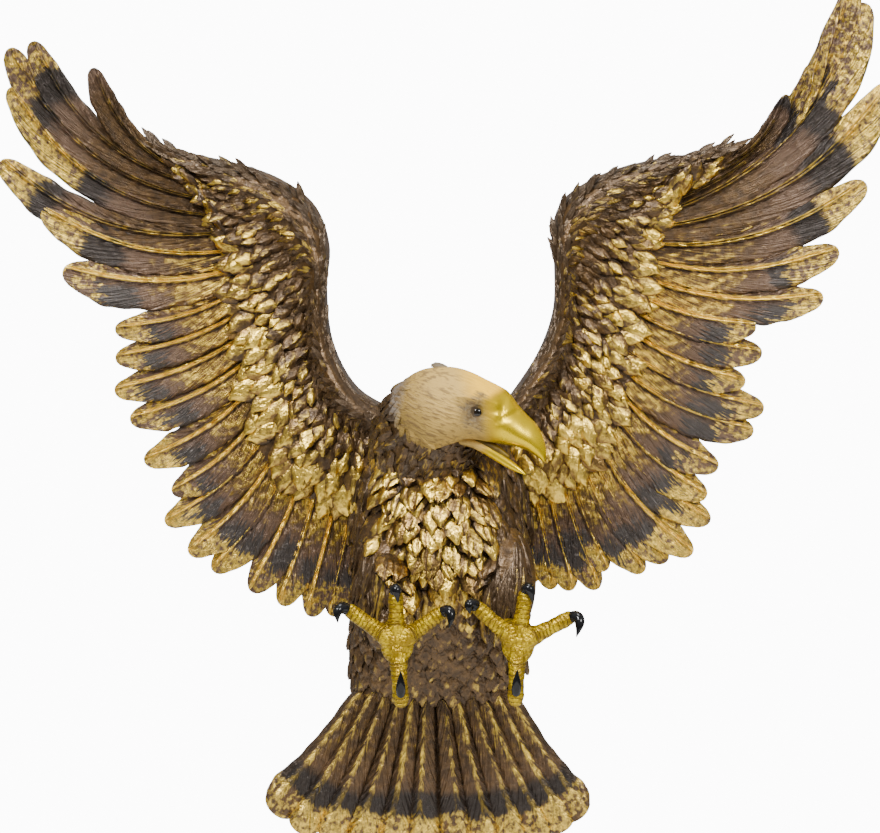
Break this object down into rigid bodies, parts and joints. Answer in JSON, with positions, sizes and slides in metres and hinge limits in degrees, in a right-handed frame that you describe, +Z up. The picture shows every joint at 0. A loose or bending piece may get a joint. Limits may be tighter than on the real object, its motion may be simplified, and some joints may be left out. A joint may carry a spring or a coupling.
{
  "type": "baroque eagle wall sculpture",
  "caption": "Wall-hung relief sculpture of an eagle with raised, spread wings, fanned tail and forward-reaching talons, cast hollow and finished in antique gold.",
  "frame": {"origin": "on the flat back, in the wall plane, behind the shoulders and just below the hanging slot", "axes": "+Z up, +X to the right of a viewer who faces the eagle, -Y out of the wall towards that viewer"},
  "size_m": [0.7099, 0.152, 0.687],
  "materials": {
    "antique_gold": "cast resin painted bronze brown, rubbed with gold, with gold leaf on the feather tips"
  },
  "bodies": {
    "root": {"eagle": "antique_gold"}
  },
  "joints": []
}
